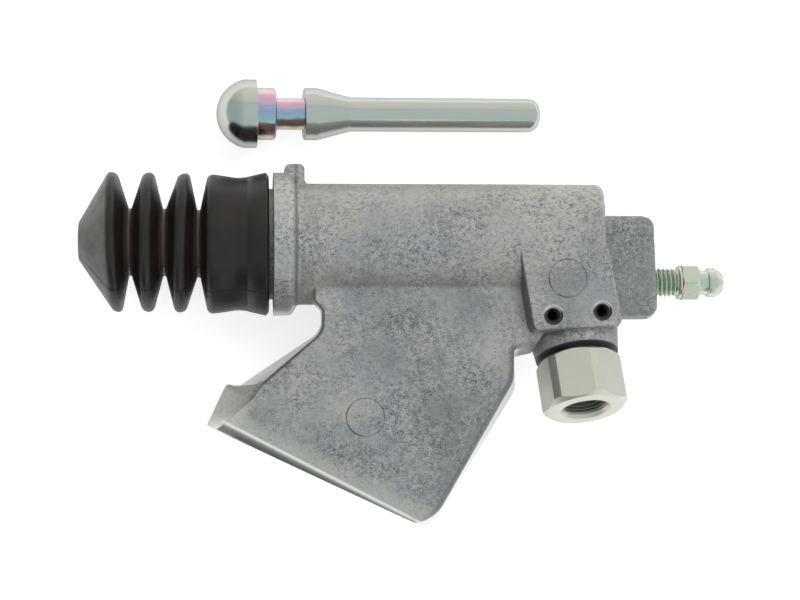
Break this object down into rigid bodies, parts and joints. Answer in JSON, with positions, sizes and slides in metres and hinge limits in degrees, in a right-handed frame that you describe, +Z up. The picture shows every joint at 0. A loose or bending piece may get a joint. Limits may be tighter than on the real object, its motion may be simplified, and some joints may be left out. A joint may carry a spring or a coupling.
{
  "type": "clutch slave cylinder",
  "caption": "Clutch slave cylinder: cast body with slanted bolt-on foot, rubber boot, sprung piston, angled hose fitting, bleed screw and a loose ball-ended push rod.",
  "frame": {"origin": "centre of the foot's flat mounting face, midway between its two bolt holes", "axes": "+X along the bore from the boot to the bleed screw; +Z up, away from the surface that the part lies on; +Y from the foot across to the bore and on to the push rod"},
  "size_m": [0.1744, 0.1214, 0.0396],
  "materials": {
    "cast_aluminium": "raw die-cast, matt, mottled grey",
    "anodised_aluminium": "turned and anodised, satin",
    "seal_rubber": "smooth black rubber",
    "boot_rubber": "satin black rubber",
    "spring_steel": "bright drawn steel",
    "zinc_plated_steel": "zinc plated, faint green tint",
    "fitting_steel": "plated, pale satin",
    "pin_steel": "dark spring steel",
    "rod_steel": "bright zinc plated"
  },
  "bodies": {
    "housing_body": {"housing": "cast_aluminium", "stop_ring": "spring_steel", "port_fitting": "fitting_steel", "fitting_seal": "seal_rubber", "roll_pin_left": "pin_steel", "roll_pin_right": "pin_steel", "dust_boot": "boot_rubber", "push_rod": "rod_steel"},
    "piston_body": {"piston": "anodised_aluminium", "rear_seal": "seal_rubber", "primary_cup": "seal_rubber", "spring_seat": "spring_steel", "piston_spring": "spring_steel"},
    "bleed_body": {"bleed_screw": "zinc_plated_steel"}
  },
  "joints": [
    {"name": "piston_slide", "type": "slide", "parent": "housing_body", "child": "piston_body", "axis": [1, 0, 0], "range_m": [0, 0.04], "stiffness_N_per_m": 400, "springref_m": -0.02, "deforming": ["piston_spring"]},
    {"name": "bleed_screw_turn", "type": "hinge", "parent": "housing_body", "child": "bleed_body", "pos_m": [0.0946, 0.05077, 0.00548], "axis": [1, 0, 0], "range_deg": [0, 360]}
  ]
}
